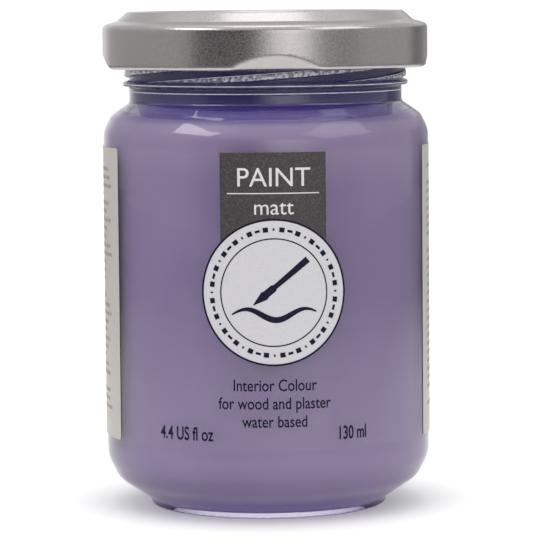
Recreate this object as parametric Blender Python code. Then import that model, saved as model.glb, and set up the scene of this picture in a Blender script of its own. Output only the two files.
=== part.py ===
# A twist-off glass jar of paint with its labels, its sealing ring and its metal lid.
# The jar stands on z = 0 with its axis on Z. Its front faces -Y.
import math

import bmesh
import bpy
from mathutils import Vector

MM = 0.001

# Driving dimensions, in millimetres.
WALL_RADIUS = 27.8          # outside of the straight glass wall
BORE_RADIUS = 25.0          # inside of the same wall
NECK_RADIUS = 23.3          # outside of the neck, under its threads
BEAD_RADIUS = 24.35         # the ring of glass round the neck under the threads
MOUTH_RADIUS = 21.4         # inside of the neck
FLOOR_HEIGHT = 3.6          # top of the glass floor at the axis
RIM_HEIGHT = 82.9           # top of the glass
PAINT_HEIGHT = 77.5         # level that the paint is filled to
PIECE_GAP = 0.3             # clearance between touching pieces

THREAD_STARTS = 4
THREAD_LEAD = 10.0          # rise of a thread in one full turn
THREAD_FIRST = -65.0        # degrees from the front where the first thread begins
THREAD_SPAN = 200.0         # degrees that each thread covers
THREAD_BASE = 71.5          # height of a thread's underside at its beginning, inside the bead
THREAD_THICK = 1.1
THREAD_RADIUS = 24.1
THREAD_RUNOUT = 14.0        # degrees over which a thread's ends sink into the neck

LID_RADIUS = 27.75
LID_TOP = 84.5
LID_PANEL = 83.6            # recessed flat centre of the lid
LID_EDGE = 74.9             # lower edge of the lid
LID_WALL = 0.35
HEM_DEPTH = 1.3             # thickness of the rolled lower edge
HEM_TOP = 76.2
GASKET_INNER = 21.95
GASKET_OUTER = 23.1
LUG_COUNT = THREAD_STARTS
LUG_FIRST = 4.0             # degrees from the front to the first lug
LUG_HALF_WIDTH = 7.0        # degrees
LUG_REACH = 23.65           # radius of a lug's inner end
LUG_THICK = 0.65
LUG_RAISE = 0.12            # height of a lug's middle over the lid's lower edge
LUG_DENT = 1.1              # depth of the flat pressed into the skirt at each lug
LUG_DENT_HEIGHT = 2.3
LUG_DENT_ARC = 30.0         # degrees to each side of a lug that the flat can reach

LABEL_LOW = 12.5
LABEL_HIGH = 61.8
LABEL_THICK = 0.06
FILM_RADIUS = 27.9          # inside of the clear front label
PRINT_RADIUS = 28.05        # inside of the printed layers and of the back label
FILM_ARC = (-60.5, 68.5)    # degrees from the front
BACK_ARC = (71.0, 297.0)
PRINT_CENTRE = 2.5          # degrees from the front to the middle of the printed front
PANEL_WIDTH = 17.6
PANEL_HIGH = 61.7
DISC_RADIUS = 12.0
DISC_HEIGHT = 38.8
DISC_GAP = 0.15

JAR_SIDES = 48
LID_SIDES = 60
ARC_STEP = 45.0             # degrees between points round a fillet
STRIP_ANGLE = 6.0           # width of the strips that a label is bent in
THREAD_STEP = 8.0           # degrees between sections of a thread

# Outlines are corners (radius, height, fillet), from the axis at the bottom to the axis or the rim.
JAR_OUTSIDE = [
    (0.0, 1.3, 0), (16.2, 1.3, 1.5), (18.2, 0.0, 0.5), (20.2, 0.0, 0.4), (20.5, 1.0, 0.3),
    (26.0, 4.9, 4.0), (WALL_RADIUS, 8.6, 5.0), (WALL_RADIUS, 64.2, 4.0), (26.5, 66.9, 2.5),
    (NECK_RADIUS, 69.1, 0.8), (NECK_RADIUS, 70.9, 0.3), (BEAD_RADIUS, 72.0, 0.2), (BEAD_RADIUS, 72.6, 0.2),
    (NECK_RADIUS, 73.1, 0.2), (NECK_RADIUS, RIM_HEIGHT, 0.9),
]


def jar_inside(gap=0.0):
    # Corners of the jar's hollow from its floor up, drawn in by gap for what fills it.
    bore = BORE_RADIUS - gap
    mouth = MOUTH_RADIUS - gap
    return [
        (0.0, FLOOR_HEIGHT + gap, 0), (20.5 - gap, FLOOR_HEIGHT + 0.3 + gap, 3.5), (bore, 8.5 + gap, 5.0),
        (bore, 63.9 - gap, 4.0), (24.0 - gap, 66.3 - gap, 2.0), (mouth, 69.2 - gap, 2.0),
    ]


def clear_scene():
    for item in list(bpy.data.objects):
        bpy.data.objects.remove(item, do_unlink=True)


def rounded(corners):
    # Turns corners with fillets into points, with each fillet as an arc.
    points = []
    for index, (radius, height, fillet) in enumerate(corners):
        here = Vector((radius, height))
        if not fillet:
            points.append(here)
            continue
        back = (Vector(corners[index - 1][:2]) - here)
        ahead = (Vector(corners[(index + 1) % len(corners)][:2]) - here)
        opening = back.angle(ahead)
        reach = fillet / math.tan(opening / 2)
        reach = min(reach, back.length * 0.49, ahead.length * 0.49)
        size = reach * math.tan(opening / 2)
        centre = here + (back.normalized() + ahead.normalized()).normalized() * size / math.sin(opening / 2)
        first = here + back.normalized() * reach - centre
        turn = math.pi - opening
        side = 1 if back.x * ahead.y - back.y * ahead.x < 0 else -1
        steps = max(1, round(math.degrees(turn) / ARC_STEP))
        for step in range(steps + 1):
            angle = side * turn * step / steps
            cosine, sine = math.cos(angle), math.sin(angle)
            points.append(centre + Vector((first.x * cosine - first.y * sine,
                                           first.x * sine + first.y * cosine)))
    return points


def place(radius, degrees, height):
    # A point at an angle from the front, seen from above as growing anticlockwise.
    angle = math.radians(degrees)
    return Vector((radius * math.sin(angle), -radius * math.cos(angle), height)) * MM


def revolve(outline, sides, closed=False, bend=None):
    # Spins an outline about Z. Points on the axis become a single vertex.
    mesh = bmesh.new()
    rings = []
    for point in outline:
        if point.x < 1e-6:
            rings.append([mesh.verts.new(place(0.0, 0.0, point.y))] * sides)
            continue
        ring = []
        for side in range(sides):
            degrees = 360.0 * side / sides
            radius = bend(point.x, degrees, point.y) if bend else point.x
            ring.append(mesh.verts.new(place(radius, degrees, point.y)))
        rings.append(ring)
    pairs = list(zip(rings, rings[1:]))
    if closed:
        pairs.append((rings[-1], rings[0]))
    for low, high in pairs:
        for side in range(sides):
            following = (side + 1) % sides
            corners = [low[side], low[following], high[following], high[side]]
            unique = list(dict.fromkeys(corners))
            mesh.faces.new(unique)
    bmesh.ops.recalc_face_normals(mesh, faces=mesh.faces)
    return mesh


def helical_bar(section, first, last, step, lead, taper=0.0, sunk=0.0):
    # Sweeps a section of (radius, height) points up a helix. The ends sink inwards to radius sunk.
    mesh = bmesh.new()
    count = max(2, round((last - first) / step))
    rings = []
    for index in range(count + 1):
        degrees = first + (last - first) * index / count
        rise = lead * (degrees - first) / 360.0
        nearest = min(degrees - first, last - degrees)
        fade = min(1.0, nearest / taper) if taper else 1.0
        rings.append([
            mesh.verts.new(place(sunk + (radius - sunk) * fade if radius > sunk and taper else radius,
                                 degrees, height + rise))
            for radius, height in section
        ])
    width = len(section)
    for near, far in zip(rings, rings[1:]):
        for index in range(width):
            other = (index + 1) % width
            mesh.faces.new((near[index], near[other], far[other], far[index]))
    mesh.faces.new(rings[0])
    mesh.faces.new(reversed(rings[-1]))
    bmesh.ops.recalc_face_normals(mesh, faces=mesh.faces)
    return mesh


def wrapped_sheet(outline, radius, thick):
    # Bends a flat outline of (width, height) points round the jar and gives it thickness.
    flat = bmesh.new()
    flat.faces.new([flat.verts.new((across, height, 0.0)) for across, height in outline])
    widths = [across for across, height in outline]
    strip = math.radians(STRIP_ANGLE) * radius
    for index in range(math.ceil(min(widths) / strip), math.floor(max(widths) / strip) + 1):
        bmesh.ops.bisect_plane(flat, geom=flat.verts[:] + flat.edges[:] + flat.faces[:], dist=1e-5,
                               plane_co=(index * strip, 0, 0), plane_no=(1, 0, 0))
    mesh = bmesh.new()
    layers = []
    for level in (radius, radius + thick):
        layers.append({
            vert: mesh.verts.new(place(level, math.degrees(vert.co.x / radius), vert.co.y))
            for vert in flat.verts
        })
    for face in flat.faces:
        mesh.faces.new([layers[0][vert] for vert in reversed(face.verts)])
        mesh.faces.new([layers[1][vert] for vert in face.verts])
    for edge in flat.edges:
        if len(edge.link_faces) == 1:
            start, end = edge.verts
            mesh.faces.new((layers[0][start], layers[0][end], layers[1][end], layers[1][start]))
    flat.free()
    bmesh.ops.recalc_face_normals(mesh, faces=mesh.faces)
    return mesh


def material(name, colour, roughness, metallic=0.0, alpha=1.0):
    made = bpy.data.materials.new(name)
    made.use_nodes = True
    shader = made.node_tree.nodes["Principled BSDF"]
    shader.inputs["Base Color"].default_value = (*colour, 1.0)
    shader.inputs["Roughness"].default_value = roughness
    shader.inputs["Metallic"].default_value = metallic
    shader.inputs["Alpha"].default_value = alpha
    return made


def add_object(name, mesh, finish, parent=None):
    data = bpy.data.meshes.new(name)
    mesh.to_mesh(data)
    mesh.free()
    if finish:
        data.materials.append(finish)
    data.shade_smooth()
    data.set_sharp_from_angle(angle=math.radians(35))
    made = bpy.data.objects.new(name, data)
    bpy.context.scene.collection.objects.link(made)
    made.parent = parent
    return made


def add_tool(name, mesh, parent=None):
    # A shape that is only joined into another one.
    tool = add_object(name, mesh, None, parent)
    tool.hide_render = True
    tool.display_type = 'WIRE'
    return tool


def join_to(target, tool):
    union = target.modifiers.new(tool.name, 'BOOLEAN')
    union.operation = 'UNION'
    union.solver = 'EXACT'
    union.object = tool


def make_jar():
    inside = rounded(jar_inside() + [(MOUTH_RADIUS, RIM_HEIGHT, 0)])[:-1]
    rim = [(MOUTH_RADIUS, 70.0, 0), (MOUTH_RADIUS, RIM_HEIGHT, 0.7), (NECK_RADIUS, RIM_HEIGHT, 0)]
    outside = rounded(JAR_OUTSIDE + [(MOUTH_RADIUS, RIM_HEIGHT, 0)])[:-1]
    outline = outside + list(reversed(rounded(rim)[1:-1])) + list(reversed(inside))
    jar = add_object("glass_jar", revolve(outline, JAR_SIDES),
                     material("clear_glass", (0.86, 0.88, 0.9), 0.03, alpha=0.35))
    half = THREAD_THICK / 2
    middle = THREAD_BASE + half
    crest = half * 0.55
    root = NECK_RADIUS - 0.5
    section = [(root, middle - half), (THREAD_RADIUS, middle - crest),
               (THREAD_RADIUS, middle + crest), (root, middle + half)]
    for start in range(THREAD_STARTS):
        first = THREAD_FIRST + 360.0 / THREAD_STARTS * start
        thread = add_tool(f"thread_tool_{start + 1}",
                          helical_bar(section, first, first + THREAD_SPAN, THREAD_STEP, THREAD_LEAD,
                                      THREAD_RUNOUT, NECK_RADIUS - 0.25))
        join_to(jar, thread)


def make_paint():
    corners = jar_inside(PIECE_GAP)
    mouth = MOUTH_RADIUS - PIECE_GAP
    outline = rounded(corners + [(mouth, PAINT_HEIGHT, 0)]) + [Vector((0.0, PAINT_HEIGHT))]
    add_object("paint_fill", revolve(outline, JAR_SIDES), material("lilac_paint", (0.23, 0.18, 0.30), 0.5))


def lug_angles():
    return [LUG_FIRST + 360.0 / LUG_COUNT * index for index in range(LUG_COUNT)]


def dented(radius, degrees, height):
    # Presses the skirt in to a flat at each lug, deepest at the lid's lower edge.
    depth = LUG_DENT * max(0.0, 1.0 - (height - LID_EDGE) / LUG_DENT_HEIGHT)
    for centre in lug_angles():
        away = (degrees - centre + 180.0) % 360.0 - 180.0
        if abs(away) < LUG_DENT_ARC:
            pressed = LID_RADIUS - (LID_RADIUS - depth) / math.cos(math.radians(away))
            radius -= max(0.0, pressed)
    return radius


def make_lid(turntable):
    outside = [
        (0.0, LID_PANEL, 0), (20.7, LID_PANEL, 0.5), (21.5, LID_TOP, 0.5), (23.5, LID_TOP, 0.6),
        (25.3, 82.9, 0.5), (LID_RADIUS, 82.2, 1.0),
    ]
    skirt = [(LID_RADIUS, 79.0, 0), (LID_RADIUS, LID_EDGE + LUG_DENT_HEIGHT, 0), (LID_RADIUS, 76.1, 0)]
    hem_bore = LID_RADIUS - HEM_DEPTH
    hem = [(LID_RADIUS, LID_EDGE, 0.6), (hem_bore, LID_EDGE, 0.6), (hem_bore, HEM_TOP, 0.5)]
    bore = LID_RADIUS - LID_WALL
    inside = [
        (bore, HEM_TOP + 0.5, 0.0), (bore, 81.9, 0.7), (25.1, 82.55, 0.3), (23.35, LID_TOP - LID_WALL, 0.3),
        (21.65, LID_TOP - LID_WALL, 0.3), (20.85, LID_PANEL - LID_WALL, 0.3), (0.0, LID_PANEL - LID_WALL, 0),
    ]
    outline = rounded(outside + skirt + hem + inside)
    lid = add_object("lid_shell", revolve(outline, LID_SIDES, bend=dented),
                     material("satin_tinplate", (0.42, 0.39, 0.39), 0.35, 1.0), turntable)
    low = LID_EDGE + LUG_RAISE - THREAD_LEAD * LUG_HALF_WIDTH / 360.0
    reach = hem_bore - 0.45
    section = [(LUG_REACH, low), (reach, low), (reach, low + LUG_THICK), (LUG_REACH, low + LUG_THICK)]
    for index, centre in enumerate(lug_angles()):
        lug = add_tool(f"lug_tool_{index + 1}",
                       helical_bar(section, centre - LUG_HALF_WIDTH, centre + LUG_HALF_WIDTH, 4.0,
                                   THREAD_LEAD), turntable)
        join_to(lid, lug)


def make_gasket(lift):
    low = RIM_HEIGHT + PIECE_GAP
    high = LID_TOP - LID_WALL - PIECE_GAP
    corners = [
        (GASKET_INNER, low, 0), (GASKET_OUTER, low, 0), (GASKET_OUTER, high, 0), (GASKET_INNER, high, 0),
    ]
    add_object("lid_gasket", revolve(rounded(corners), JAR_SIDES, closed=True),
               material("sealing_compound", (0.75, 0.74, 0.70), 0.6), lift)


def arc_points(centre, height, radius, first, last, steps):
    return [
        (centre + radius * math.cos(math.radians(first + (last - first) * step / steps)),
         height + radius * math.sin(math.radians(first + (last - first) * step / steps)))
        for step in range(steps + 1)
    ]


def band(arc, radius):
    # The outline of a plain label that covers an arc of the wall.
    first, last = (math.radians(degrees) * radius for degrees in arc)
    return [(first, LABEL_LOW), (last, LABEL_LOW), (last, LABEL_HIGH), (first, LABEL_HIGH)]


def make_labels():
    add_object("front_label", wrapped_sheet(band(FILM_ARC, FILM_RADIUS), FILM_RADIUS, LABEL_THICK),
               material("clear_film", (0.9, 0.9, 0.92), 0.2, alpha=0.2))
    add_object("back_label", wrapped_sheet(band(BACK_ARC, PRINT_RADIUS), PRINT_RADIUS, LABEL_THICK),
               material("white_label", (0.62, 0.60, 0.57), 0.45))
    centre = math.radians(PRINT_CENTRE) * PRINT_RADIUS
    disc = arc_points(centre, DISC_HEIGHT, DISC_RADIUS, 0, 360, 48)[:-1]
    add_object("label_disc", wrapped_sheet(disc, PRINT_RADIUS, LABEL_THICK),
               material("disc_ink", (0.72, 0.70, 0.73), 0.5))
    cut = DISC_RADIUS + DISC_GAP
    side = math.degrees(math.acos(PANEL_WIDTH / 2 / cut))
    panel = arc_points(centre, DISC_HEIGHT, cut, side, 180 - side, 14)
    panel += [(centre - PANEL_WIDTH / 2, PANEL_HIGH), (centre + PANEL_WIDTH / 2, PANEL_HIGH)]
    add_object("label_panel", wrapped_sheet(panel, PRINT_RADIUS, LABEL_THICK),
               material("panel_ink", (0.075, 0.062, 0.06), 0.5))


def main():
    clear_scene()
    lift = bpy.data.objects.new("lid_lift_axis", None)
    turntable = bpy.data.objects.new("lid_twist_axis", None)
    for empty in (lift, turntable):
        bpy.context.scene.collection.objects.link(empty)
    turntable.parent = lift
    make_jar()
    make_paint()
    make_labels()
    make_gasket(lift)
    make_lid(turntable)


main()
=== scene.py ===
import math
import random

import bmesh
import bpy
from mathutils import Matrix, Vector


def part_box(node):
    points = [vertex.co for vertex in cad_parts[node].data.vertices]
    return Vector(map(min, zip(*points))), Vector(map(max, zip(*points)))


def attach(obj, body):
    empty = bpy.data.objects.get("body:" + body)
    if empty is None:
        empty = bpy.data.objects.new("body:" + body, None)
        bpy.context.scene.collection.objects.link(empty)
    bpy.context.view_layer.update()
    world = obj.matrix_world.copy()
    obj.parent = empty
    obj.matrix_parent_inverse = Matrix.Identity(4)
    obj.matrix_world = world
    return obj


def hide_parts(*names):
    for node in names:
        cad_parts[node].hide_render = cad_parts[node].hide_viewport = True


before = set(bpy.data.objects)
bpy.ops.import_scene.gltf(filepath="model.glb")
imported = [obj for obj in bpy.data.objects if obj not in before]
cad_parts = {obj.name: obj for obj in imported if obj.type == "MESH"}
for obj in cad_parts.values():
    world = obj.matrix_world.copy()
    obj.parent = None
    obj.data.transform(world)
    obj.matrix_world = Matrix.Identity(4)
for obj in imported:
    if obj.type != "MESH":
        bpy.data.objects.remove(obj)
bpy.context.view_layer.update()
mm = 0.001


def heightOf(node):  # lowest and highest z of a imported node, in millimetres
    low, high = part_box(node)
    return low.z / mm, high.z / mm


def sizesFromFrame():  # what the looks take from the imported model, in millimetres
    skirtBelowSeal = 8.3
    gasketLow, gasketHigh = heightOf("lid_gasket")
    labelLow, labelHigh = heightOf("back_label")
    discLow, discHigh = heightOf("label_disc")
    return {
        "wallRadius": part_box("glass_jar")[1].x / mm,
        "rimHeight": heightOf("glass_jar")[1],
        "paintHeight": heightOf("paint_fill")[1],
        "lidRadius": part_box("lid_shell")[1].x / mm,
        "lidEdge": gasketLow - skirtBelowSeal,
        "lidTop": heightOf("lid_shell")[1],
        "gasketLow": gasketLow,
        "gasketHigh": gasketHigh,
        "labelLow": labelLow,
        "labelHigh": labelHigh,
        "discMiddle": (discLow + discHigh) / 2,
        "discRadius": (discHigh - discLow) / 2,
        "panelTop": heightOf("label_panel")[1],
    }


sizes = sizesFromFrame()


def roundedOutline(corners, stepAngle=9.0):  # corners are (radius, height, fillet) in millimetres
    points = []
    for index, (radius, height, fillet) in enumerate(corners):
        here = Vector((radius, height))
        if not fillet:
            points.append(here)
            continue
        back = Vector(corners[index - 1][:2]) - here
        ahead = Vector(corners[(index + 1) % len(corners)][:2]) - here
        opening = back.angle(ahead)
        reach = min(fillet / math.tan(opening / 2), back.length * 0.49, ahead.length * 0.49)
        size = reach * math.tan(opening / 2)
        middle = (back.normalized() + ahead.normalized()).normalized() * size / math.sin(opening / 2)
        centre = here + middle
        first = here + back.normalized() * reach - centre
        turn = math.pi - opening
        side = 1 if back.x * ahead.y - back.y * ahead.x < 0 else -1
        steps = max(2, round(math.degrees(turn) / stepAngle))
        for step in range(steps + 1):
            angle = side * turn * step / steps
            points.append(centre + Matrix.Rotation(angle, 2) @ first)
    return points


def spaced(points, longest):  # adds points so that no stretch is longer than this
    result = [points[0]]
    for start, end in zip(points, points[1:]):
        parts = max(1, math.ceil((end - start).length / longest))
        for part in range(1, parts + 1):
            result.append(start.lerp(end, part / parts))
    return result


def onJar(radius, degrees, height):  # a point at an angle from the front, in metres
    angle = math.radians(degrees)
    return Vector((radius * math.sin(angle), -radius * math.cos(angle), height)) * mm


def newPiece(name, mesh, materials, sharpAngle=40.0):  # a smooth-shaded object with sharp corners kept
    data = bpy.data.meshes.new(name)
    bmesh.ops.recalc_face_normals(mesh, faces=mesh.faces)
    mesh.to_mesh(data)
    mesh.free()
    for material in materials:
        data.materials.append(material)
    data.shade_smooth()
    data.set_sharp_from_angle(angle=math.radians(sharpAngle))
    piece = bpy.data.objects.new(name, data)
    bpy.context.scene.collection.objects.link(piece)
    return piece


def turnedMesh(outline, sides, closed=False, shape=None):  # turns an outline about Z
    # shape(radius, degrees, height) may move each point
    mesh = bmesh.new()
    rings = []
    for point in outline:
        if point.x < 1e-6:
            rings.append([mesh.verts.new(onJar(0.0, 0.0, point.y))] * sides)
            continue
        ring = []
        for side in range(sides):
            degrees = 360.0 * side / sides
            radius, height = shape(point.x, degrees, point.y) if shape else point
            ring.append(mesh.verts.new(onJar(radius, degrees, height)))
        rings.append(ring)
    pairs = list(zip(rings, rings[1:])) + ([(rings[-1], rings[0])] if closed else [])
    for low, high in pairs:
        for side in range(sides):
            after = (side + 1) % sides
            corners = list(dict.fromkeys([low[side], low[after], high[after], high[side]]))
            mesh.faces.new(corners)
    return mesh


def flatShape(loops):  # flat faces in (across, height) millimetres
    flat = bmesh.new()
    for loop in loops:
        flat.faces.new([flat.verts.new((across, height, 0.0)) for across, height in loop])
    return flat


def wrapOnJar(flat, radius, thick, strip=1.2):
    # cuts a flat drawing in upright strips, bends it round the jar and gives it thickness
    widths = [vert.co.x for vert in flat.verts]
    for index in range(math.ceil(min(widths) / strip), math.floor(max(widths) / strip) + 1):
        bmesh.ops.bisect_plane(flat, geom=flat.verts[:] + flat.edges[:] + flat.faces[:], dist=1e-5,
                               plane_co=(index * strip, 0, 0), plane_no=(1, 0, 0))
    mesh = bmesh.new()
    layers = [
        {vert: mesh.verts.new(onJar(level, math.degrees(vert.co.x / radius), vert.co.y))
         for vert in flat.verts}
        for level in (radius, radius + thick)
    ]
    for face in flat.faces:
        mesh.faces.new([layers[0][vert] for vert in reversed(face.verts)])
        mesh.faces.new([layers[1][vert] for vert in face.verts])
    for edge in flat.edges:
        if len(edge.link_faces) == 1:
            start, end = edge.verts
            mesh.faces.new((layers[0][start], layers[0][end], layers[1][end], layers[1][start]))
    flat.free()
    return mesh


def ringPoints(across, height, radius, first=0.0, last=360.0, steps=96):  # points along an arc
    return [
        (across + radius * math.cos(math.radians(first + (last - first) * step / steps)),
         height + radius * math.sin(math.radians(first + (last - first) * step / steps)))
        for step in range(steps + 1)
    ]


def ringBand(across, height, inner, outer, parts=96):  # a flat ring as a list of four-sided loops
    inside = ringPoints(across, height, inner, steps=parts)
    outside = ringPoints(across, height, outer, steps=parts)
    return [[inside[k], outside[k], outside[k + 1], inside[k + 1]] for k in range(parts)]


def wordShape(words, size, across, height, squeeze=1.0, bold=0.0):
    # flat letters in Blender's own font, centred on a point, in millimetres
    curve = bpy.data.curves.new("words", 'FONT')
    curve.body = words
    curve.size = size
    curve.align_x = 'CENTER'
    curve.offset = bold
    curve.resolution_u = 6
    made = bpy.data.objects.new("words", curve)
    bpy.context.scene.collection.objects.link(made)
    bpy.context.view_layer.update()
    data = bpy.data.meshes.new_from_object(made.evaluated_get(bpy.context.evaluated_depsgraph_get()))
    flat = bmesh.new()
    flat.from_mesh(data)
    bpy.data.objects.remove(made, do_unlink=True)
    bpy.data.meshes.remove(data)
    bpy.data.curves.remove(curve)
    bmesh.ops.remove_doubles(flat, verts=flat.verts, dist=1e-5)
    for vert in flat.verts:
        vert.co.x = vert.co.x * squeeze + across
        vert.co.y += height
    return flat


def newGroup(name, inputs, outputs):
    group = bpy.data.node_groups.new(name, 'ShaderNodeTree')
    for label, kind, value in inputs:
        socket = group.interface.new_socket(label, in_out='INPUT', socket_type=kind)
        socket.default_value = value
    for label, kind in outputs:
        group.interface.new_socket(label, in_out='OUTPUT', socket_type=kind)
    return group, group.nodes.new('NodeGroupInput'), group.nodes.new('NodeGroupOutput')


def mathNode(tree, operation, first, second=None, third=None):
    node = tree.nodes.new('ShaderNodeMath')
    node.operation = operation
    for index, value in enumerate((first, second, third)):
        if value is None:
            continue
        if isinstance(value, (int, float)):
            node.inputs[index].default_value = value
        else:
            tree.links.new(value, node.inputs[index])
    return node.outputs[0]


def noiseNode(tree, vector, scale, detail=2.0, roughness=0.5):
    node = tree.nodes.new('ShaderNodeTexNoise')
    tree.links.new(vector, node.inputs["Vector"])
    if isinstance(scale, (int, float)):
        node.inputs["Scale"].default_value = scale
    else:
        tree.links.new(scale, node.inputs["Scale"])
    node.inputs["Detail"].default_value = detail
    node.inputs["Roughness"].default_value = roughness
    return node.outputs["Fac"]


def rangeNode(tree, value, low, high, newLow=0.0, newHigh=1.0):
    node = tree.nodes.new('ShaderNodeMapRange')
    node.interpolation_type = 'SMOOTHSTEP'
    tree.links.new(value, node.inputs["Value"])
    for label, number in (("From Min", low), ("From Max", high), ("To Min", newLow), ("To Max", newHigh)):
        node.inputs[label].default_value = number
    return node.outputs["Result"]


def makeGrainGroup():  # fine even grain, and broad clouds, from the piece's own coordinates
    group, into, out = newGroup(
        "fineGrain",
        [("Grain Size", 'NodeSocketFloat', 2600.0), ("Cloud Size", 'NodeSocketFloat', 90.0),
         ("Grain Low", 'NodeSocketFloat', 0.4), ("Grain High", 'NodeSocketFloat', 0.6)],
        [("Grain", 'NodeSocketFloat'), ("Clouds", 'NodeSocketFloat')],
    )
    place = group.nodes.new('ShaderNodeTexCoord').outputs["Object"]
    grain = noiseNode(group, place, into.outputs["Grain Size"], 1.5, 0.6)
    spread = group.nodes.new('ShaderNodeMapRange')
    group.links.new(grain, spread.inputs["Value"])
    group.links.new(into.outputs["Grain Low"], spread.inputs["From Min"])
    group.links.new(into.outputs["Grain High"], spread.inputs["From Max"])
    group.links.new(spread.outputs["Result"], out.inputs["Grain"])
    clouds = noiseNode(group, place, into.outputs["Cloud Size"], 3.0)
    group.links.new(clouds, out.inputs["Clouds"])
    return group


def makeWearGroup():  # light scuffs on outward edges
    group, into, out = newGroup(
        "edgeWear",
        [("Amount", 'NodeSocketFloat', 0.5), ("Break Up", 'NodeSocketFloat', 700.0)],
        [("Wear", 'NodeSocketFloat')],
    )
    pointiness = group.nodes.new('ShaderNodeNewGeometry').outputs["Pointiness"]
    edge = rangeNode(group, pointiness, 0.505, 0.54)
    place = group.nodes.new('ShaderNodeTexCoord').outputs["Object"]
    broken = rangeNode(group, noiseNode(group, place, into.outputs["Break Up"], 4.0), 0.42, 0.62)
    worn = mathNode(group, 'MULTIPLY', edge, broken)
    worn = mathNode(group, 'MULTIPLY', worn, into.outputs["Amount"])
    group.links.new(worn, out.inputs["Wear"])
    return group


def newMaterial(name):
    material = bpy.data.materials.new(name)
    material.use_nodes = True
    tree = material.node_tree
    return material, tree, tree.nodes["Principled BSDF"]


def useGroup(tree, group, **values):
    node = tree.nodes.new('ShaderNodeGroup')
    node.node_tree = group
    for label, number in values.items():
        node.inputs[label.replace("_", " ")].default_value = number
    return node


def colourMix(tree, factor, first, second):
    node = tree.nodes.new('ShaderNodeMix')
    node.data_type = 'RGBA'
    tree.links.new(factor, node.inputs["Factor"])
    for socket, value in ((node.inputs["A"], first), (node.inputs["B"], second)):
        if isinstance(value, tuple):
            socket.default_value = (*value, 1.0)
        else:
            tree.links.new(value, socket)
    return node.outputs["Result"]


def bumpNode(tree, height, strength, distance):
    node = tree.nodes.new('ShaderNodeBump')
    node.inputs["Strength"].default_value = strength
    node.inputs["Distance"].default_value = distance
    tree.links.new(height, node.inputs["Height"])
    return node.outputs["Normal"]


grainGroup = makeGrainGroup()
wearGroup = makeWearGroup()


def placeOnPiece(tree):  # height, then left to right and front to back, in the piece's coordinates
    split = tree.nodes.new('ShaderNodeSeparateXYZ')
    tree.links.new(tree.nodes.new('ShaderNodeTexCoord').outputs["Object"], split.inputs[0])
    return split.outputs["Z"], split.outputs["X"], split.outputs["Y"]


def makeGlass():
    look = {"colour": (0.985, 0.99, 0.992), "ior": 1.5, "waves": 0.12, "waveDepth": 0.002,
            "seam": 0.00012, "seamRise": 0.05,
            "speckFrom": 0.0728, "speckTo": 0.0733, "speckle": 0.5,
            "crestFrom": 0.0236, "crestTo": 0.0239, "scuffHaze": 0.16, "scuffSpots": 0.5,
            "frostAndGlint": (0.72, 0.70, 0.76), "frostingRoughness": 0.45, "shadow": (0.93, 0.935, 0.94)}
    material, tree, shader = newMaterial("clearGlass")
    shader.inputs["Base Color"].default_value = (*look["colour"], 1.0)
    shader.inputs["Roughness"].default_value = 0.0
    shader.inputs["IOR"].default_value = look["ior"]
    shader.inputs["Transmission Weight"].default_value = 1.0
    grain = useGroup(tree, grainGroup, Cloud_Size=45.0, Grain_Size=1500.0)
    up, across, along = placeOnPiece(tree)
    seam = rangeNode(tree, mathNode(tree, 'ABSOLUTE', along), 0.0, look["seam"], 1.0, 0.0)
    seam = mathNode(tree, 'MULTIPLY', seam, look["seamRise"])
    surface = mathNode(tree, 'ADD', grain.outputs["Clouds"], seam)
    neck = rangeNode(tree, up, look["speckFrom"], look["speckTo"], 0.0, look["speckle"])
    specks = mathNode(tree, 'MULTIPLY', grain.outputs["Grain"], neck)
    surface = mathNode(tree, 'ADD', surface, specks)
    tree.links.new(bumpNode(tree, surface, look["waves"], look["waveDepth"]), shader.inputs["Normal"])
    # the faces of the threads are frosted pale, partly scuffs from the lid's lugs and partly painted glints
    around = tree.nodes.new('ShaderNodeCombineXYZ')
    tree.links.new(across, around.inputs["X"])
    tree.links.new(along, around.inputs["Y"])
    out = tree.nodes.new('ShaderNodeVectorMath')
    out.operation = 'LENGTH'
    tree.links.new(around.outputs[0], out.inputs[0])
    crest = rangeNode(tree, out.outputs["Value"], look["crestFrom"], look["crestTo"])
    crest = mathNode(tree, 'MULTIPLY', crest, rangeNode(tree, up, look["speckFrom"], look["speckTo"]))
    scuffsAndGlints = mathNode(tree, 'MULTIPLY_ADD', grain.outputs["Grain"], look["scuffSpots"], look["scuffHaze"])
    frostAndGlint = tree.nodes.new('ShaderNodeBsdfPrincipled')
    frostAndGlint.inputs["Base Color"].default_value = (*look["frostAndGlint"], 1.0)
    frostAndGlint.inputs["Roughness"].default_value = look["frostingRoughness"]
    scuffedAndGlinting = tree.nodes.new('ShaderNodeMixShader')
    tree.links.new(mathNode(tree, 'MULTIPLY', crest, scuffsAndGlints), scuffedAndGlinting.inputs[0])
    tree.links.new(shader.outputs[0], scuffedAndGlinting.inputs[1])
    tree.links.new(frostAndGlint.outputs[0], scuffedAndGlinting.inputs[2])
    clear = tree.nodes.new('ShaderNodeBsdfTransparent')
    clear.inputs["Color"].default_value = (*look["shadow"], 1.0)
    mix = tree.nodes.new('ShaderNodeMixShader')
    tree.links.new(tree.nodes.new('ShaderNodeLightPath').outputs["Is Shadow Ray"], mix.inputs[0])
    tree.links.new(scuffedAndGlinting.outputs[0], mix.inputs[1])
    tree.links.new(clear.outputs[0], mix.inputs[2])
    tree.links.new(mix.outputs[0], tree.nodes["Material Output"].inputs["Surface"])
    return material


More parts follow.
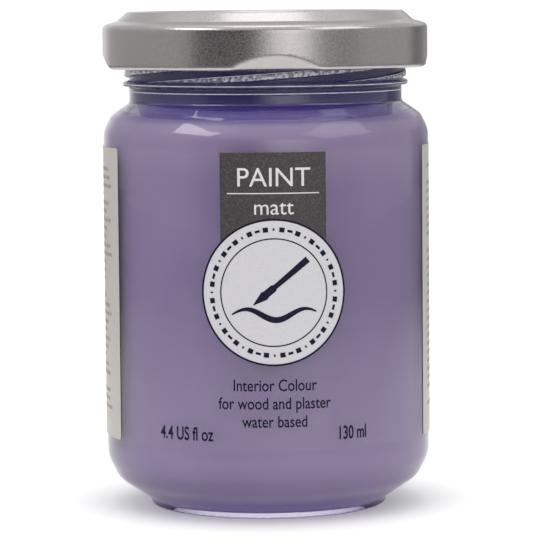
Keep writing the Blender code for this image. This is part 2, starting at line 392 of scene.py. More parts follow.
def makePaintLook():  # lilac in the body, deep violet in the shoulder, near navy in the neck, partly painted shade
    look = {
        "body": (0.235, 0.160, 0.345), "bodyPale": (0.262, 0.185, 0.372), "roughness": 0.32,
        "paintedBrowLight": (0.305, 0.225, 0.405), "browFrom": 0.055, "browTo": 0.063,
        "foot": (0.165, 0.105, 0.345), "footFrom": 0.0036, "footTo": 0.0054,
        "violetLayerAndShade": (0.066, 0.034, 0.275), "violetFrom": 0.0655, "violetTo": 0.0668,
        "navyLayerAndShade": (0.022, 0.016, 0.160), "navyFrom": 0.0690, "navyTo": 0.0697,
    }
    material, tree, shader = newMaterial("lilacPaint")
    grain = useGroup(tree, grainGroup, Cloud_Size=38.0, Grain_Size=420.0)
    clouds = rangeNode(tree, grain.outputs["Clouds"], 0.35, 0.65)
    body = colourMix(tree, clouds, look["body"], look["bodyPale"])
    up = placeOnPiece(tree)[0]
    wander = mathNode(tree, 'MULTIPLY_ADD', grain.outputs["Clouds"], 0.0006, up)
    # painted light: the paint is lighter from the upper body up, where more light falls from above
    body = colourMix(tree, rangeNode(tree, up, look["browFrom"], look["browTo"]), body, look["paintedBrowLight"])
    body = colourMix(tree, rangeNode(tree, up, look["footFrom"], look["footTo"]), look["foot"], body)
    # partly a settled top layer of the paint, partly painted shade from the lid and the neck above
    violetLayerAndShade = rangeNode(tree, wander, look["violetFrom"], look["violetTo"])
    navyLayerAndShade = rangeNode(tree, wander, look["navyFrom"], look["navyTo"])
    neck = colourMix(tree, navyLayerAndShade, colourMix(tree, violetLayerAndShade, body, look["violetLayerAndShade"]), look["navyLayerAndShade"])
    tree.links.new(neck, shader.inputs["Base Color"])
    shader.inputs["Roughness"].default_value = look["roughness"]
    tree.links.new(bumpNode(tree, grain.outputs["Clouds"], 0.1, 0.0004), shader.inputs["Normal"])
    return material


def makeTinplate(name, colour, roughness, grainSize=4200.0, bump=0.1):
    shade, worn = 0.88, (0.9, 0.88, 0.87)
    material, tree, shader = newMaterial(name)
    shader.inputs["Metallic"].default_value = 1.0
    grain = useGroup(tree, grainGroup, Grain_Size=grainSize, Cloud_Size=60.0,
                     Grain_Low=0.36, Grain_High=0.64)
    wear = useGroup(tree, wearGroup, Amount=0.2)
    darker = tuple(value * shade for value in colour)
    tone = colourMix(tree, grain.outputs["Grain"], darker, colour)
    tone = colourMix(tree, wear.outputs["Wear"], tone, worn)
    tree.links.new(tone, shader.inputs["Base Color"])
    rough = mathNode(tree, 'MULTIPLY_ADD', grain.outputs["Grain"], 0.08, roughness - 0.04)
    rough = mathNode(tree, 'MULTIPLY_ADD', grain.outputs["Clouds"], 0.06, rough)
    tree.links.new(rough, shader.inputs["Roughness"])
    tree.links.new(bumpNode(tree, grain.outputs["Grain"], bump, 0.00004), shader.inputs["Normal"])
    return material


def makeInk(name, colour, speck, speckle=0.5, roughness=0.5, grainSize=3000.0, gloss=0.5):
    material, tree, shader = newMaterial(name)
    shader.inputs["Specular IOR Level"].default_value = gloss
    grain = useGroup(tree, grainGroup, Grain_Size=grainSize, Cloud_Size=120.0,
                     Grain_Low=0.45, Grain_High=0.7)
    specks = mathNode(tree, 'MULTIPLY', grain.outputs["Grain"], speckle)
    tone = colourMix(tree, specks, colour, speck)
    tree.links.new(tone, shader.inputs["Base Color"])
    rough = mathNode(tree, 'MULTIPLY_ADD', grain.outputs["Clouds"], 0.12, roughness - 0.06)
    tree.links.new(rough, shader.inputs["Roughness"])
    tree.links.new(bumpNode(tree, grain.outputs["Grain"], 0.15, 0.00002), shader.inputs["Normal"])
    return material


def makeFilm():
    look = {"colour": (0.80, 0.79, 0.84), "alpha": 0.014, "alphaSpread": 0.012, "roughness": 0.22}
    material, tree, shader = newMaterial("clearFilm")
    shader.inputs["Base Color"].default_value = (*look["colour"], 1.0)
    shader.inputs["Roughness"].default_value = look["roughness"]
    grain = useGroup(tree, grainGroup, Grain_Size=1500.0, Cloud_Size=110.0)
    lowest = look["alpha"] - look["alphaSpread"] / 2
    alpha = mathNode(tree, 'MULTIPLY_ADD', grain.outputs["Clouds"], look["alphaSpread"], lowest)
    tree.links.new(alpha, shader.inputs["Alpha"])
    tree.links.new(bumpNode(tree, grain.outputs["Clouds"], 0.1, 0.0005), shader.inputs["Normal"])
    return material


glass = makeGlass()
paint = makePaintLook()
tinplate = makeTinplate("satinTinplate", (0.468, 0.434, 0.437), 0.19)
lining = makeTinplate("paleLacquer", (0.74, 0.70, 0.60), 0.38, 1800.0, 0.2)
compound = makeInk("sealingCompound", (0.70, 0.69, 0.65), (0.58, 0.57, 0.54), 0.5, 0.6, 900.0)
panelInk = makeInk("darkPanelInk", (0.029, 0.0230, 0.0240), (0.095, 0.082, 0.083), 0.5, 0.5)
discInk = makeInk("paleDiscInk", (0.54, 0.53, 0.56), (0.46, 0.45, 0.475), 0.4, 0.45)
textInk = makeInk("navyTextInk", (0.006, 0.005, 0.02), (0.02, 0.017, 0.045), 0.4, 0.55, gloss=0.12)
paleInk = makeInk("paleTextInk", (0.62, 0.60, 0.62), (0.5, 0.48, 0.5), 0.4, 0.45)
whiteFilm = makeInk("whiteLabelFilm", (0.425, 0.395, 0.37), (0.38, 0.355, 0.33), 0.4, 0.38, 1400.0)
# pale frosting for the mould seams and thread edges, partly painted glints along the neck
frostedAndGlinting = makeInk("frostedSeamAndGlint", (0.70, 0.68, 0.72), (0.35, 0.34, 0.40), 0.8, 0.5, 1100.0)
greyInk = makeInk("greyPrintInk", (0.22, 0.215, 0.22), (0.4, 0.39, 0.4), 0.4, 0.5)
film = makeFilm()
print("materials made")


jar = {
    "sides": 240, "bore": 25.0, "neck": 23.3, "bead": 24.35, "mouth": 21.4, "floor": 3.6,
    "threads": 4, "threadLead": 10.0, "threadFirst": -65.0, "threadSpan": 200.0,
    "threadMiddle": 72.05, "threadHalf": 0.6, "threadFlank": 0.3, "threadStand": 0.8, "threadRunout": 14.0,
    "threadZone": (72.6, 22.4), "finishFoot": 73.1, "mouthFoot": 75.0,
    "knurls": 84, "knurlDepth": 0.16, "knurlTop": 0.35, "knurlInner": 18.0, "knurlOuter": 20.4,
    "seamRadius": 0.075, "beadSeam": 72.28, "neckSeam": 71.02,
    "scuffRadius": 0.06, "scuffFrom": 10, "scuffTo": 190, "sharpAngle": 70.0,
}


def jarInside(gap=0.0):
    bore, mouth, floor = jar["bore"] - gap, jar["mouth"] - gap, jar["floor"] + gap
    return [
        (0.0, floor, 0), (20.5 - gap, floor + 0.3, 3.5), (bore, floor + 4.9, 5.0), (bore, 63.9 - gap, 4.0),
        (24.0 - gap, 66.3 - gap, 2.0), (mouth, 69.2 - gap, 2.0),
    ]


def threadFade(turned):  # a thread rises out of the neck at its start and sinks back at its end
    nearest = min(turned, jar["threadSpan"] - turned)
    return math.sin(math.pi / 2 * max(0.0, min(1.0, nearest / jar["threadRunout"])))


def threadHeight(turned):
    return jar["threadMiddle"] + jar["threadLead"] * turned / 360.0


def threadBump(degrees, height):  # how far the threads stand out of the neck at a point
    most = 0.0
    for start in range(jar["threads"]):
        turned = (degrees - jar["threadFirst"] - 360.0 / jar["threads"] * start) % 360.0
        inside = jar["threadHalf"] - abs(height - threadHeight(turned))
        if turned > jar["threadSpan"] or inside <= 0.0:
            continue
        ridge = math.sin(math.pi / 2 * min(1.0, inside / jar["threadFlank"]))
        most = max(most, jar["threadStand"] * threadFade(turned) * ridge)
    return most


def jarShape(radius, degrees, height):  # threads on the neck and small notches round the foot
    lowest, innermost = jar["threadZone"]
    if height > lowest and radius > innermost:
        radius = max(radius, min(radius, jar["neck"]) + threadBump(degrees, height))
    if height < jar["knurlTop"] and jar["knurlInner"] < radius < jar["knurlOuter"]:
        height += jar["knurlDepth"] * abs(math.sin(math.radians(degrees) * jar["knurls"] / 2))
    return radius, height


def makeJar():
    wall, rim = sizes["wallRadius"], sizes["rimHeight"]
    neck, bead, mouth = jar["neck"], jar["bead"], jar["mouth"]
    foot, mouthFoot = jar["finishFoot"], jar["mouthFoot"]
    below = [
        (0.0, 1.3, 0), (17.6, 1.3, 0.5), (18.0, 0.0, 0.4), (20.2, 0.0, 0.35), (20.45, 1.2, 0.3),
        (26.0, 4.9, 4.0), (wall, 8.6, 5.0), (wall, 64.2, 4.0), (26.5, 66.9, 2.5),
        (neck, 69.1, 0.8), (neck, 71.75, 0.25), (bead, 71.95, 0.25), (bead, 72.65, 0.3),
        (neck, 73.0, 0.1), (neck, foot, 0),
    ]
    above = [(neck, foot, 0), (neck, rim, 0.9), (mouth, rim, 0.7), (mouth, mouthFoot, 0)]
    rimOutline = roundedOutline(above)
    outline = roundedOutline(below) + spaced(rimOutline[:2], 0.12)[1:] + rimOutline[2:]
    outline += list(reversed(roundedOutline(jarInside() + [(mouth, mouthFoot, 0)])))[1:]
    mesh = turnedMesh(outline, jar["sides"], shape=jarShape)
    piece = newPiece("glassJar", mesh, [glass], jar["sharpAngle"])
    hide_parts("glass_jar")
    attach(piece, "jar")


def addTube(mesh, points, radii, sides=6, closed=False):  # a thin round bead of frosting along points, partly a painted glint
    rings = []
    for index, point in enumerate(points):
        outward = Vector((point.x, point.y, 0.0)).normalized()
        ring = []
        for side in range(sides):
            angle = 2 * math.pi * side / sides
            offset = outward * math.cos(angle) + Vector((0, 0, 1)) * math.sin(angle)
            ring.append(mesh.verts.new(point + offset * radii[index] * mm))
        rings.append(ring)
    for near, far in list(zip(rings, rings[1:])) + ([(rings[-1], rings[0])] if closed else []):
        for side in range(sides):
            after = (side + 1) % sides
            mesh.faces.new((near[side], near[after], far[after], far[side]))
    if not closed:
        mesh.faces.new(rings[0])
        mesh.faces.new(rings[-1])


def makeSeams():  # the mould's joint lines round the neck and the scuffed upper thread edges, partly painted glints
    mesh = bmesh.new()
    count = jar["sides"]
    for radius, height in ((jar["bead"] - 0.02, jar["beadSeam"]), (jar["neck"], jar["neckSeam"])):
        ring = [onJar(radius, 360.0 * step / count, height) for step in range(count)]
        addTube(mesh, ring, [jar["seamRadius"]] * count, closed=True)
    for start in range(jar["threads"]):
        first = jar["threadFirst"] + 360.0 / jar["threads"] * start
        steps = range(jar["scuffFrom"], jar["scuffTo"], 2)
        points = [
            onJar(jar["neck"] + jar["threadStand"] * threadFade(turned) - 0.1, first + turned,
                  threadHeight(turned) + jar["threadHalf"] - 0.12)
            for turned in steps
        ]
        radii = [jar["scuffRadius"] * (0.7 + 0.5 * math.sin(turned * 0.9) * math.sin(turned * 2.3))
                 for turned in steps]
        addTube(mesh, points, radii)
    piece = newPiece("neckSeamsAndGlints", mesh, [frostedAndGlinting])
    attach(piece, "jar")


paintFill = {
    "sides": 192, "wetting": 0.04, "meniscus": 0.7, "curl": 0.8, "ripple": 0.18,
    "airGap": 0.35, "airFrom": 66.1, "airTo": 69.3, "wallTop": 72.0, "curve": 40, "sharpAngle": 50.0,
}


def makePaint():
    level, wetting, gap = sizes["paintHeight"], paintFill["wetting"], paintFill["airGap"]
    mouth = jar["mouth"] + wetting
    outline = []
    for point in spaced(roundedOutline(jarInside(-wetting) + [(mouth, paintFill["wallTop"], 0)]), 0.4):
        dry = paintFill["airFrom"] < point.y < paintFill["airTo"]  # air between paint and glass here
        outline.append(Vector((point.x - gap * 0.8, point.y - gap * 0.6)) if dry else point)
    outline.append(Vector((mouth, level)))
    for step in range(1, paintFill["curve"]):  # the top dips away from the glass in a curve
        inward = mouth * (1 - step / paintFill["curve"])
        dip = paintFill["meniscus"] * (1 - math.exp(-(mouth - inward) / paintFill["curl"]))
        outline.append(Vector((inward, level - dip)))
    outline.append(Vector((0.0, level - paintFill["meniscus"])))

    def rippled(radius, degrees, height):  # low waves on the top, calm at the glass and the middle
        if height > level - 2.0 and radius < mouth - 1.0:
            turn = math.radians(degrees)
            wave = math.sin(radius * 0.5 + 2.2 * math.sin(turn))
            wave *= math.cos(radius * 0.23 - 1.4 * math.cos(turn))
            calm = min(1.0, (mouth - 1.0 - radius) / 4.0) * min(1.0, radius / 4.0)
            height += paintFill["ripple"] * wave * calm
        return radius, height

    mesh = turnedMesh(outline, paintFill["sides"], shape=rippled)
    piece = newPiece("paintFill", mesh, [paint], paintFill["sharpAngle"])
    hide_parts("paint_fill")
    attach(piece, "jar")


lid = {
    "sides": 240, "wall": 0.3, "panel": 83.6, "hem": 1.3, "hemTop": 76.2, "liningFrom": 76.6,
    "lugs": 4, "lugFirst": 4.0, "lugHalfWidth": 7.0, "lugReach": 23.65, "lugRoot": 1.75,
    "lugRounding": 0.9, "lugThick": 0.65, "lugRaise": 0.12,
    "dent": 1.1, "dentHeight": 2.4, "dentArc": 30.0, "sharpAngle": 50.0,
}


def lidShape(radius, degrees, height):  # the flats pressed in the skirt over the lugs
    depth = lid["dent"] * max(0.0, 1.0 - (height - sizes["lidEdge"]) / lid["dentHeight"])
    outside = sizes["lidRadius"]
    for index in range(lid["lugs"]):
        centre = lid["lugFirst"] + 360.0 / lid["lugs"] * index
        away = (degrees - centre + 180.0) % 360.0 - 180.0
        if abs(away) < lid["dentArc"]:
            radius -= max(0.0, outside - (outside - depth) / math.cos(math.radians(away)))
    return radius, height


def lugMesh(centre):  # a tongue that follows the thread's slope, with its inner end rounded
    mesh = bmesh.new()
    low = sizes["lidEdge"] + lid["lugRaise"]
    outer = sizes["lidRadius"] - lid["lugRoot"]
    rings = []
    for step in range(17):
        share = step / 8 - 1
        degrees = centre + lid["lugHalfWidth"] * share
        rise = jar["threadLead"] * lid["lugHalfWidth"] * share / 360.0
        inner = lid["lugReach"] + lid["lugRounding"] * abs(share) ** 4
        half = lid["lugThick"] / 2
        ring = []
        for turn in range(0, 181, 30):  # round nose
            angle = math.radians(90 + turn)
            ring.append((inner + half + half * math.cos(angle), low + half + half * math.sin(angle)))
        ring += [(outer, low), (outer, low + 2 * half)]
        rings.append([mesh.verts.new(onJar(radius, degrees, height + rise)) for radius, height in ring])
    count = len(rings[0])
    for near, far in zip(rings, rings[1:]):
        for index in range(count):
            after = (index + 1) % count
            mesh.faces.new((near[index], near[after], far[after], far[index]))
    mesh.faces.new(rings[0])
    mesh.faces.new(rings[-1])
    return mesh


def makeLid():  # the outline runs over the outside from the middle, then back along the inside
    edge, radius, top = sizes["lidEdge"], sizes["lidRadius"], sizes["lidTop"]
    panel, wall = lid["panel"], lid["wall"]
    outside = [
        (0.0, panel, 0), (12.0, panel, 0), (20.7, panel, 0.5), (21.5, top, 0.5), (23.5, top, 0.6),
        (25.3, 82.9, 0.5), (radius, 82.2, 1.0), (radius, 79.0, 0), (radius, edge, 0.65),
    ]
    hemBore, hemTop, bore = radius - lid["hem"], lid["hemTop"], radius - wall
    inside = [
        (hemBore, edge, 0.62), (hemBore, hemTop, 0.5), (hemBore + 0.75, 76.3, 0.3), (bore, 76.9, 0.3),
        (bore, 81.9, 0.7), (25.1, 82.6, 0.3), (23.35, top - wall, 0.3), (21.65, top - wall, 0.3),
        (20.85, panel - wall, 0.3), (12.0, panel - wall, 0), (0.0, panel - wall, 0),
    ]
    outline = roundedOutline(outside + inside)
    split = next(index for index, point in enumerate(outline) if point.y < edge + 1e-4) + 8
    outline = outline[:1] + spaced(outline[1:split], 0.45) + spaced(outline[split:], 0.9)
    mesh = turnedMesh(outline, lid["sides"], shape=lidShape)
    piece = newPiece("lidShell", mesh, [tinplate, lining], lid["sharpAngle"])
    for face in piece.data.polygons:  # the inside is lacquered, above the hem
        centre, normal = face.center / mm, face.normal
        within = math.hypot(centre.x, centre.y) < bore - 0.05 and lid["liningFrom"] < centre.z < top - 0.2
        facesDown = normal.z < -0.2
        facesIn = normal.z < 0.3 and normal.x * centre.x + normal.y * centre.y < 0
        face.material_index = 1 if within and (facesDown or facesIn) else 0
    for index in range(lid["lugs"]):
        centre = lid["lugFirst"] + 360.0 / lid["lugs"] * index
        tongue = newPiece(f"lugTool{index + 1}", lugMesh(centre), [tinplate])
        union = piece.modifiers.new(tongue.name, 'BOOLEAN')
        union.operation = 'UNION'
        union.object = tongue
        applyModifiers(piece)
        bpy.data.objects.remove(tongue, do_unlink=True)
    piece.data.shade_smooth()
    piece.data.set_sharp_from_angle(angle=math.radians(lid["sharpAngle"]))
    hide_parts("lid_shell")
    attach(piece, "lid")


def applyModifiers(piece):  # keeps the mesh that the modifiers make
    graph = bpy.context.evaluated_depsgraph_get()
    result = bpy.data.meshes.new_from_object(piece.evaluated_get(graph), depsgraph=graph)
    piece.modifiers.clear()
    piece.data = result


gasket = {
    "sides": 192, "inner": 21.95, "outer": 23.1, "groove": 0.12, "crown": 0.1, "fillet": 0.1,
    "lowFillet": 0.12, "topFillet": 0.15, "stepAngle": 20.0,
}


def makeGasket():  # flat on top, with a shallow groove where the rim presses
    low, high = sizes["gasketLow"], sizes["gasketHigh"]
    inner, outer, fillet = gasket["inner"], gasket["outer"], gasket["fillet"]
    corners = [
        (inner, low + gasket["crown"], gasket["lowFillet"]), (inner + 0.3, low, fillet),
        (inner + 0.55, low + gasket["groove"], fillet), (outer - 0.3, low, fillet),
        (outer, low + gasket["crown"], gasket["lowFillet"]),
        (outer, high, gasket["topFillet"]), (inner, high, gasket["topFillet"]),
    ]
    mesh = turnedMesh(roundedOutline(corners, gasket["stepAngle"]), gasket["sides"], closed=True)
    piece = newPiece("lidGasket", mesh, [compound])
    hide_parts("lid_gasket")
    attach(piece, "seal")


label = {
    "filmRadius": 27.83, "filmThick": 0.02, "layerRadius": 27.87, "layerThick": 0.03,
    "printRadius": 27.91, "printThick": 0.015, "filmArc": (-60.5, 68.5), "backArc": (71.0, 297.0),
    "centre": 2.5, "panelWidth": 17.6, "corner": 0.6, "discGap": 0.02,
}


def arcWidth(degrees, radius):
    return math.radians(degrees) * radius


def labelOutline(arc, radius):  # a label with slightly rounded corners
    first, last = arcWidth(arc[0], radius), arcWidth(arc[1], radius)
    low, high, corner = sizes["labelLow"], sizes["labelHigh"], label["corner"]
    outline = []
    for across, height, start in ((last - corner, low + corner, -90), (last - corner, high - corner, 0),
                                  (first + corner, high - corner, 90), (first + corner, low + corner, 180)):
        outline += ringPoints(across, height, corner, start, start + 90, 6)
    return outline


def addWrapped(name, flat, radius, thick, material, node=None):  # a drawing laid on the jar
    piece = newPiece(name, wrapOnJar(flat, radius, thick), [material], 30.0)
    if node:
        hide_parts(node)
    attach(piece, "jar")


def makeLabels():
    addWrapped("frontFilm", flatShape([labelOutline(label["filmArc"], label["filmRadius"])]),
               label["filmRadius"], label["filmThick"], film, node="front_label")
    addWrapped("backLabel", flatShape([labelOutline(label["backArc"], label["layerRadius"])]),
               label["layerRadius"], label["layerThick"], whiteFilm, node="back_label")
    centre = arcWidth(label["centre"], label["layerRadius"])
    middle, radius, half = sizes["discMiddle"], sizes["discRadius"], label["panelWidth"] / 2
    addWrapped("paleDisc", flatShape([ringPoints(centre, middle, radius)[:-1]]),
               label["layerRadius"], label["layerThick"], discInk, node="label_disc")
    notch = radius + label["discGap"]
    side = math.degrees(math.acos(half / notch))
    outline = ringPoints(centre, middle, notch, side, 180 - side, 40)
    outline += [(centre - half, sizes["panelTop"]), (centre + half, sizes["panelTop"])]
    addWrapped("darkPanel", flatShape([outline]), label["layerRadius"], label["layerThick"], panelInk,
               node="label_panel")


def joined(shapes):  # several flat drawings as one
    whole = bmesh.new()
    for shape in shapes:
        data = bpy.data.meshes.new("drawing")
        shape.to_mesh(data)
        shape.free()
        whole.from_mesh(data)
        bpy.data.meshes.remove(data)
    return whole


def bar(left, low, right, high):
    return [(left, low), (right, low), (right, high), (left, high)]


def brushStroke(points, widths):  # a stroke along points, with a width at each
    loops = []
    sides = []
    for index, (across, height) in enumerate(points):
        before = Vector(points[max(0, index - 1)])
        after = Vector(points[min(len(points) - 1, index + 1)])
        along = (after - before).normalized()
        out = Vector((-along.y, along.x)) * widths[index] / 2
        sides.append((Vector((across, height)) + out, Vector((across, height)) - out))
    for (leftA, rightA), (leftB, rightB) in zip(sides, sides[1:]):
        loops.append([tuple(leftA), tuple(rightA), tuple(rightB), tuple(leftB)])
    return loops


prints = {
    # words, size, height, squeeze and boldness
    "panelWords": (("PAINT", 4.4, 56.2, 1.0, 0.0), ("matt", 3.6, 51.6, 1.0, 0.0)),
    "filmWords": (
        ("Interior Colour", 2.75, 22.6, 0.80, 0.025), ("for wood and plaster", 2.75, 19.6, 0.80, 0.025),
        ("water based", 2.75, 16.6, 0.80, 0.025),
    ),
    # the same with the angle from the front before them
    "amounts": ((-29.2, "4.4 US fl oz", 3.1, 14.2, 0.70, 0.05), (30.0, "130 ml", 3.1, 14.2, 0.66, 0.05)),
    "ruleLow": 54.95, "ruleHigh": 55.13, "ruleHalf": 7.6,
    # the disc's lines and marks by their distance from its middle
    "outline": 0.32, "innerLine": (8.72, 8.93), "marks": 48,
    "longMark": (9.95, 10.75), "shortMark": (10.15, 10.55),
    "waveHalf": 7.0, "waveDrop": 3.6, "waveRise": 0.9,
    "brushTip": (-3.4, -2.0), "brushEnd": (5.6, 5.4), "hairTo": 0.22, "ferruleTo": 0.4,
}


def wordRows(centre, rows):
    return [wordShape(words, size, centre, *rest) for words, size, *rest in rows]


def makePrints():
    radius, thick = label["printRadius"], label["printThick"]
    centre = arcWidth(label["centre"], radius)
    middle, disc = sizes["discMiddle"], sizes["discRadius"]
    # pale words and rule on the dark panel
    half = prints["ruleHalf"]
    rule = flatShape([bar(centre - half, prints["ruleLow"], centre + half, prints["ruleHigh"])])
    pale = joined(wordRows(centre, prints["panelWords"]) + [rule])
    addWrapped("panelPrint", pale, radius, thick, paleInk)
    # the disc's dark outline, its inner line and a ring of dashes and dots between them
    edge = disc + 0.1
    rings = ringBand(centre, middle, edge - prints["outline"], edge)
    rings += ringBand(centre, middle, *prints["innerLine"])
    for step in range(prints["marks"]):
        turn = 360.0 / prints["marks"] * step
        spread = 2.4 if step % 4 else 0.8
        inner, outer = prints["longMark"] if step % 2 else prints["shortMark"]
        inside = ringPoints(centre, middle, inner, turn - spread, turn + spread, 4)
        outside = ringPoints(centre, middle, outer, turn - spread, turn + spread, 4)
        rings.append(inside + list(reversed(outside)))
    addWrapped("discRings", flatShape(rings), radius, thick, textInk)
    # a plain paint brush over one wavy stroke of paint
    shares = [step / 40 for step in range(41)]
    left, base = centre - prints["waveHalf"], middle - prints["waveDrop"]
    wave = [(left + 2 * prints["waveHalf"] * share, base + prints["waveRise"] * math.sin(share * 9.0))
            for share in shares]
    strokes = brushStroke(wave, [0.25 + 0.75 * math.sin(math.pi * share) for share in shares])
    start, end = (Vector((centre + x, middle + y)) for x, y in (prints["brushTip"], prints["brushEnd"]))
    reach = [start.lerp(end, share / 30) for share in range(31)]
    widths = []
    for share in range(31):
        along = share / 30
        if along < prints["hairTo"]:
            widths.append(0.15 + 7.0 * along)
        elif along < prints["ferruleTo"]:
            widths.append(1.25)
        else:  # the handle
            widths.append(0.62 + 0.5 * along)
    strokes += brushStroke([tuple(point) for point in reach], widths)
    addWrapped("discBrush", flatShape(strokes), radius + 0.001, thick, textInk)
    # dark words on the clear film
    onFilm = label["filmRadius"] + label["filmThick"] + 0.01
    words = joined(wordRows(centre, prints["filmWords"]))
    addWrapped("filmPrint", words, onFilm, thick, textInk)
    amounts = [wordRows(arcWidth(degrees, radius), [row])[0] for degrees, *row in prints["amounts"]]
    addWrapped("amountPrint", joined(amounts), onFilm, thick, textInk)


smallPrint = {
    "seed": 7, "columns": 4, "gutter": 3.2, "margin": 4.0, "line": 1.45, "letter": 0.62, "space": 0.55,
    "thick": 0.01, "gapChance": 0.14,
}


def makeBackPrint():  # plain grey bars stand for the small print, in blocks
    chance = random.Random(smallPrint["seed"])
    radius, columns, gutter = label["printRadius"], smallPrint["columns"], smallPrint["gutter"]
    first, last = (arcWidth(degrees, radius) for degrees in label["backArc"])
    width = (last - first - gutter * (columns + 1)) / columns
    loops = []
    for column in range(columns):
        left = first + gutter + column * (width + gutter)
        height = sizes["labelHigh"] - smallPrint["margin"]
        while height > sizes["labelLow"] + smallPrint["margin"]:
            across = left
            end = left + width * chance.uniform(0.72, 1.0)
            while across < end - 0.6:
                word = chance.uniform(0.9, 3.4)
                right = min(across + word, left + width)
                loops.append(bar(across, height, right, height + smallPrint["letter"]))
                across += word + smallPrint["space"]
            height -= smallPrint["line"]
            if chance.random() < smallPrint["gapChance"]:
                height -= smallPrint["line"]
    addWrapped("backPrint", flatShape(loops), radius, smallPrint["thick"], greyInk)


makeJar()
makeSeams()
print("glass jar turned")
makePaint()
print("paint filled")
makeLid()
makeGasket()
print("lid and seal made")
makeLabels()
makePrints()
makeBackPrint()
print("labels printed")


floorLook = {
    "tone": (0.86, 0.86, 0.86), "radius": 1.2, "roughness": 0.6, "gloss": 0.2,
    # the glow by the distance from the jar's axis: painted light under the foot, painted shadow close round
    # it, more farther out
    "underGlow": 0.95, "underFrom": 0.0176, "underTo": 0.0186,
    "nearGlow": 0.12, "farGlow": 0.27, "glowFrom": 0.024, "glowTo": 0.038,
    "fadeFrom": 0.1, "fadeTo": 0.42,
}
studio = {
    # light from each side, and where one fades into the next along each axis
    "front": 0.34, "side": 0.60, "back": 1.0, "raised": 0.74, "top": 1.12, "backdrop": 1.05,
    "frontToSide": (-0.9, -0.4), "sideToBack": (0.75, 0.95), "toRaised": (0.1, 0.4), "toTop": (0.55, 0.85),
    # cards low round the jar: from and to across, near and far along, softness, change of light
    "cardSoftness": 0.15, "cardHeights": (-0.4, 0.16, 0.1),
    "cards": (
        (-0.68, -0.24, -1.0, -0.66, 0.2, 0.25), (0.22, 0.36, -1.0, -0.7, 0.36, 5.6),
        (0.82, 0.90, -0.6, -0.35, 0.06, 0.7), (0.10, 0.78, 0.5, 1.0, 0.06, 0.42),
    ),
    # place, width, height, brightness against white, roll
    "aim": (0.0, 0.0, 0.06),
    "lights": {
        "topSoftbox": ((0.0, 0.0, 1.1), 0.55, 0.55, 1.25, 0.0),
        "leftSoftbox": ((-0.74, -0.5, 0.70), 0.60, 0.26, 4.6, -14.0),
        "rightSoftbox": ((0.80, -0.5, 0.66), 0.90, 0.60, 1.2, 20.0),
    },
}


def makeFloor():
    look = floorLook
    mesh = bmesh.new()
    bmesh.ops.create_circle(mesh, cap_ends=True, segments=96, radius=look["radius"])
    material, tree, shader = newMaterial("studioFloor")
    shader.inputs["Base Color"].default_value = (*look["tone"], 1.0)
    shader.inputs["Roughness"].default_value = look["roughness"]
    shader.inputs["Specular IOR Level"].default_value = look["gloss"]
    shader.inputs["Emission Color"].default_value = (1.0, 1.0, 1.0, 1.0)
    place = tree.nodes.new('ShaderNodeVectorMath')
    place.operation = 'LENGTH'
    tree.links.new(tree.nodes.new('ShaderNodeTexCoord').outputs["Object"], place.inputs[0])
    away = place.outputs["Value"]
    # painted light under the foot, and a ring of painted shadow round it on top of the real contact shadow
    under = rangeNode(tree, away, look["underFrom"], look["underTo"], look["underGlow"], 0.0)
    around = rangeNode(tree, away, look["glowFrom"], look["glowTo"], look["nearGlow"], look["farGlow"])
    glow = mathNode(tree, 'ADD', under, around)
    tree.links.new(glow, shader.inputs["Emission Strength"])
    # in mirror reflections the floor fades to the level of the room in front
    far = rangeNode(tree, away, look["fadeFrom"], look["fadeTo"])
    mirrored = tree.nodes.new('ShaderNodeLightPath').outputs["Is Glossy Ray"]
    dim = tree.nodes.new('ShaderNodeEmission')
    dim.inputs["Strength"].default_value = studio["front"]
    mix = tree.nodes.new('ShaderNodeMixShader')
    tree.links.new(mathNode(tree, 'MULTIPLY', far, mirrored), mix.inputs[0])
    tree.links.new(shader.outputs[0], mix.inputs[1])
    tree.links.new(dim.outputs[0], mix.inputs[2])
    tree.links.new(mix.outputs[0], tree.nodes["Material Output"].inputs["Surface"])
    floor = newPiece("studioFloor", mesh, [material])
    if floor.data.polygons[0].normal.z < 0:
        floor.data.flip_normals()


def between(tree, value, low, high, soft):  # 1 inside a range, fading to 0 outside it
    rising = rangeNode(tree, value, low - soft, low)
    falling = rangeNode(tree, value, high, high + soft, 1.0, 0.0)
    return mathNode(tree, 'MULTIPLY', rising, falling)


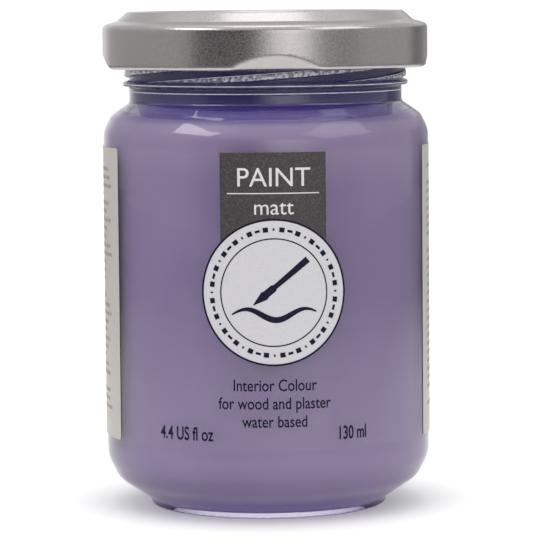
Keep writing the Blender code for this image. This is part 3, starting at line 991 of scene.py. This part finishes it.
def makeWorld():  # white behind, dimmer at the sides and in front, with softly edged cards
    world = bpy.data.worlds.new("studio")
    bpy.context.scene.world = world
    world.use_nodes = True
    tree = world.node_tree
    background = tree.nodes["Background"]
    background.inputs["Color"].default_value = (1.0, 1.0, 1.0, 1.0)
    split = tree.nodes.new('ShaderNodeSeparateXYZ')
    tree.links.new(tree.nodes.new('ShaderNodeTexCoord').outputs["Generated"], split.inputs[0])
    right, away, up = split.outputs["X"], split.outputs["Y"], split.outputs["Z"]
    level = rangeNode(tree, away, *studio["frontToSide"], studio["front"], studio["side"])
    behind = rangeNode(tree, away, *studio["sideToBack"], 0.0, studio["back"] - studio["side"])
    level = mathNode(tree, 'ADD', level, behind)
    low = between(tree, up, *studio["cardHeights"])
    for first, last, near, far, soft, change in studio["cards"]:
        across = between(tree, right, first, last, soft)
        along = between(tree, away, near, far, studio["cardSoftness"])
        card = mathNode(tree, 'MULTIPLY', mathNode(tree, 'MULTIPLY', across, along), low)
        level = mathNode(tree, 'MULTIPLY', level, mathNode(tree, 'MULTIPLY_ADD', card, change - 1.0, 1.0))
    for heights, aim in ((studio["toRaised"], studio["raised"]), (studio["toTop"], studio["top"])):
        share = rangeNode(tree, up, *heights)
        level = mathNode(tree, 'MULTIPLY_ADD', share, mathNode(tree, 'SUBTRACT', aim, level), level)
    tree.links.new(level, background.inputs["Strength"])
    plain = tree.nodes.new('ShaderNodeBackground')
    plain.inputs["Color"].default_value = (1.0, 1.0, 1.0, 1.0)
    plain.inputs["Strength"].default_value = studio["backdrop"]
    mix = tree.nodes.new('ShaderNodeMixShader')
    tree.links.new(tree.nodes.new('ShaderNodeLightPath').outputs["Is Camera Ray"], mix.inputs[0])
    tree.links.new(background.outputs[0], mix.inputs[1])
    tree.links.new(plain.outputs[0], mix.inputs[2])
    tree.links.new(mix.outputs[0], tree.nodes["World Output"].inputs["Surface"])


def addLight(name, place, width, height, glow, roll):  # a soft rectangle turned towards the jar
    data = bpy.data.lights.new(name, 'AREA')
    data.shape = 'RECTANGLE'
    data.size, data.size_y = width, height
    data.energy = glow * math.pi * width * height
    light = bpy.data.objects.new(name, data)
    facing = (Vector(studio["aim"]) - Vector(place)).to_track_quat('-Z', 'Y').to_matrix().to_4x4()
    light.matrix_world = Matrix.Translation(place) @ facing @ Matrix.Rotation(math.radians(roll), 4, 'Z')
    light.visible_camera = False
    bpy.context.scene.collection.objects.link(light)


view = {
    "distance": 0.525, "height": 0.088, "aside": 0.00138, "pitch": 5.32, "roll": -0.5,
    "lens": 200.3, "sensor": 36.0,
}


def makeCamera():
    data = bpy.data.cameras.new("camera")
    data.lens = view["lens"]
    data.sensor_width = view["sensor"]
    camera = bpy.data.objects.new("camera", data)
    tilt = Matrix.Rotation(math.radians(90.0 - view["pitch"]), 4, 'X')
    roll = Matrix.Rotation(math.radians(view["roll"]), 4, 'Z')
    place = Matrix.Translation((view["aside"], -view["distance"], view["height"]))
    camera.matrix_world = place @ tilt @ roll
    bpy.context.scene.collection.objects.link(camera)
    bpy.context.scene.camera = camera


makeFloor()
makeWorld()
for name, values in studio["lights"].items():
    addLight(name, *values)
makeCamera()
bpy.context.scene.view_settings.view_transform = 'Standard'
print("studio set")
